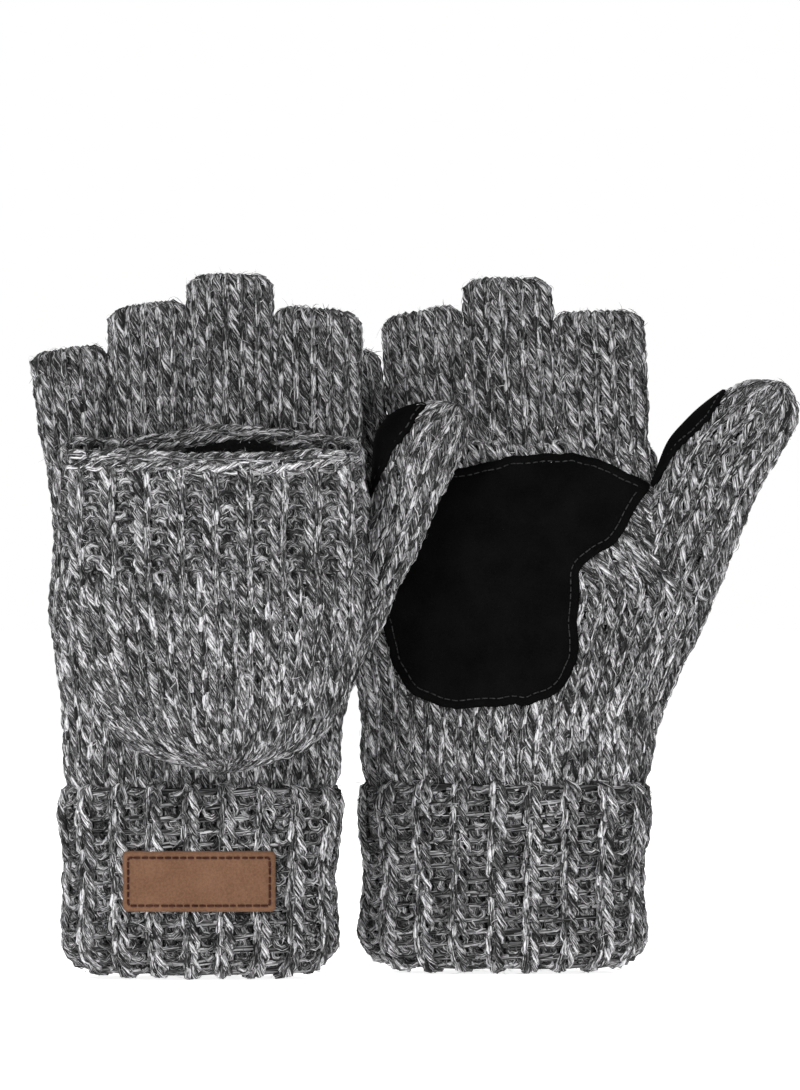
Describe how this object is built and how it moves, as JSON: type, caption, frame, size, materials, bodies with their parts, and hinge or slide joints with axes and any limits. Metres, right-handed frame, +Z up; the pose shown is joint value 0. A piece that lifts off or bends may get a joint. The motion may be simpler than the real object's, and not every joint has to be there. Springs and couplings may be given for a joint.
{
  "type": "convertible flip-top mittens",
  "caption": "Pair of chunky knitted fingerless gloves with flip-over mitten caps, turned-up cuffs, suede grip patches and leather cuff labels.",
  "frame": {"origin": "floor point midway between the two gloves, in line with the middle of their thickness", "axes": "+X from the left glove to the right glove, +Y away from the viewer, +Z up from the cuffs to the fingertips"},
  "size_m": [0.2562, 0.0872, 0.2335],
  "materials": {
    "marled_wool": "chunky marled grey wool knit, matte and fuzzy",
    "black_fleece": "black brushed fleece",
    "black_suede": "black suede with a fine nap",
    "grey_thread": "dark grey sewing thread",
    "brown_leather": "brown grained leather, matte",
    "brown_thread": "dark brown sewing thread"
  },
  "bodies": {
    "left_cuff": {"left_cuff_turnup": "marled_wool", "left_label": "brown_leather", "left_label_stitching": "brown_thread"},
    "left_hand": {"left_hand_shell": "marled_wool", "left_cuff_inner": "marled_wool", "left_little_finger": "marled_wool", "left_ring_finger": "marled_wool", "left_middle_finger": "marled_wool", "left_index_finger": "marled_wool", "left_palm_patch": "black_suede", "left_palm_patch_stitching": "grey_thread", "left_knuckle_seam": "marled_wool"},
    "left_cap": {"left_cap_shell": "marled_wool", "left_cap_rib_band": "marled_wool", "left_cap_lining": "black_fleece"},
    "left_thumb": {"left_thumb_shell": "marled_wool", "left_thumb_patch": "black_suede", "left_thumb_patch_stitching": "grey_thread"},
    "right_cuff": {"right_cuff_turnup": "marled_wool", "right_label": "brown_leather", "right_label_stitching": "brown_thread"},
    "right_hand": {"right_hand_shell": "marled_wool", "right_cuff_inner": "marled_wool", "right_little_finger": "marled_wool", "right_ring_finger": "marled_wool", "right_middle_finger": "marled_wool", "right_index_finger": "marled_wool", "right_palm_patch": "black_suede", "right_palm_patch_stitching": "grey_thread", "right_knuckle_seam": "marled_wool"},
    "right_cap": {"right_cap_shell": "marled_wool", "right_cap_rib_band": "marled_wool", "right_cap_lining": "black_fleece"},
    "right_thumb": {"right_thumb_shell": "marled_wool", "right_thumb_patch": "black_suede", "right_thumb_patch_stitching": "grey_thread"}
  },
  "joints": [
    {"name": "left_cuff_let_down", "type": "slide", "parent": "left_cuff", "child": "left_hand", "axis": [0, 0, 1], "range_m": [0, 0.04]},
    {"name": "left_cap_flip", "type": "hinge", "parent": "left_hand", "child": "left_cap", "pos_m": [-0.06805, -0.0245, 0.1775], "axis": [-1, 0, 0], "range_deg": [0, 180], "deforming": ["left_little_finger", "left_ring_finger", "left_middle_finger", "left_index_finger"]},
    {"name": "left_thumb_spread", "type": "hinge", "parent": "left_hand", "child": "left_thumb", "pos_m": [-0.01475, -0.0115, 0.13825], "axis": [0, 1, 0], "range_deg": [0, 15], "stiffness_Nm_per_rad": 0.05},
    {"name": "right_cuff_let_down", "type": "slide", "parent": "right_cuff", "child": "right_hand", "axis": [0, 0, 1], "range_m": [0, 0.04]},
    {"name": "right_cap_flip", "type": "hinge", "parent": "right_hand", "child": "right_cap", "pos_m": [0.02597, 0.0245, 0.1775], "axis": [1, 0, 0], "range_deg": [0, 180], "deforming": ["right_little_finger", "right_ring_finger", "right_middle_finger", "right_index_finger"]},
    {"name": "right_thumb_spread", "type": "hinge", "parent": "right_hand", "child": "right_thumb", "pos_m": [0.0875, 0.0115, 0.14325], "axis": [0, 1, 0], "range_deg": [0, 15], "stiffness_Nm_per_rad": 0.05},
    {"name": "right_glove_apart", "type": "slide", "parent": "left_cuff", "child": "right_cuff", "axis": [0, 1, 0], "range_m": [0, 0.06]}
  ]
}
